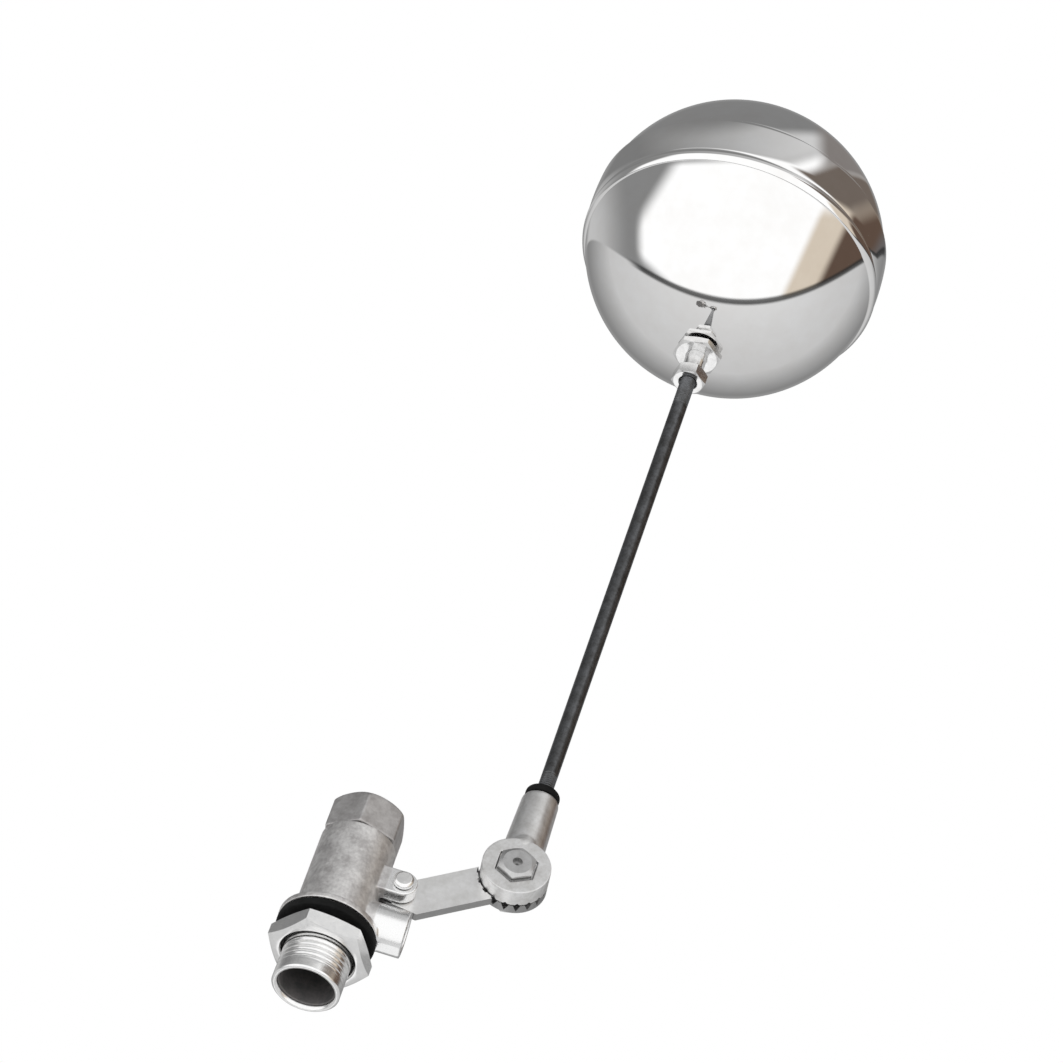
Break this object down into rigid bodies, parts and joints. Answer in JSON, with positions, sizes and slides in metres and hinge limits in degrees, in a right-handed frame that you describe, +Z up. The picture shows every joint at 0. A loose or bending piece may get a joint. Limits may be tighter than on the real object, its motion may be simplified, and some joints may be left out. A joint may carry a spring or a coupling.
{
  "type": "float valve",
  "caption": "Stainless float valve: threaded inlet with lock nut, piston body and spout, swinging lever with an adjustable knuckle, and a hollow ball float on a rod.",
  "frame": {"origin": "centre of the inlet, in the flange's sealing face, where the inlet passes through the tank wall", "axes": "+X along the valve body, from the tank wall into the tank; +Z up in use, so that the outlet points down along -Z; the lever swings in the XZ plane"},
  "size_m": [0.3948, 0.0996, 0.1128],
  "materials": {
    "cast_body": "satin cast stainless steel",
    "bright_turned": "bright turned stainless steel",
    "pressed_plate": "satin pressed stainless steel",
    "polished_float": "mirror-polished stainless steel",
    "dark_rod": "dull grey drawn steel",
    "black_rubber": "matt black rubber",
    "seal_rubber": "matt dark seal rubber"
  },
  "bodies": {
    "body": {"valve_body": "cast_body", "seat_nozzle": "bright_turned", "flange_gasket": "black_rubber", "end_cap": "cast_body", "pivot_pin": "bright_turned", "pivot_cotter": "bright_turned"},
    "nut": {"lock_nut": "bright_turned"},
    "piston": {"piston": "bright_turned", "piston_washer": "seal_rubber", "washer_retainer": "bright_turned"},
    "lever": {"lever_arm": "pressed_plate"},
    "float_arm": {"rod_holder": "cast_body", "knuckle_bolt": "bright_turned", "knuckle_flat_washer": "bright_turned", "knuckle_spring_washer": "bright_turned", "knuckle_nut": "bright_turned", "holder_ring": "black_rubber", "float_rod": "dark_rod", "float_lock_nut": "bright_turned", "float_boss": "bright_turned", "float_lower_shell": "polished_float", "float_upper_shell": "polished_float"}
  },
  "joints": [
    {"name": "lever_swing", "type": "hinge", "parent": "body", "child": "lever", "pos_m": [0.0207, 0, -0.0169], "axis": [0, -1, 0], "range_deg": [0, 25]},
    {"name": "piston_slide", "type": "slide", "parent": "body", "child": "piston", "axis": [-1, 0, 0], "range_m": [0, 0.0072]},
    {"name": "knuckle_adjust", "type": "hinge", "parent": "lever", "child": "float_arm", "pos_m": [0.0393, 0, -0.0471], "axis": [0, -1, 0], "range_deg": [-60, 40]},
    {"name": "lock_nut_travel", "type": "slide", "parent": "body", "child": "nut", "axis": [-1, 0, 0], "range_m": [0, 0.012]}
  ],
  "couplings": [
    {"joint": "piston_slide", "follows": "lever_swing", "m_per_rad": 0.01634}
  ]
}
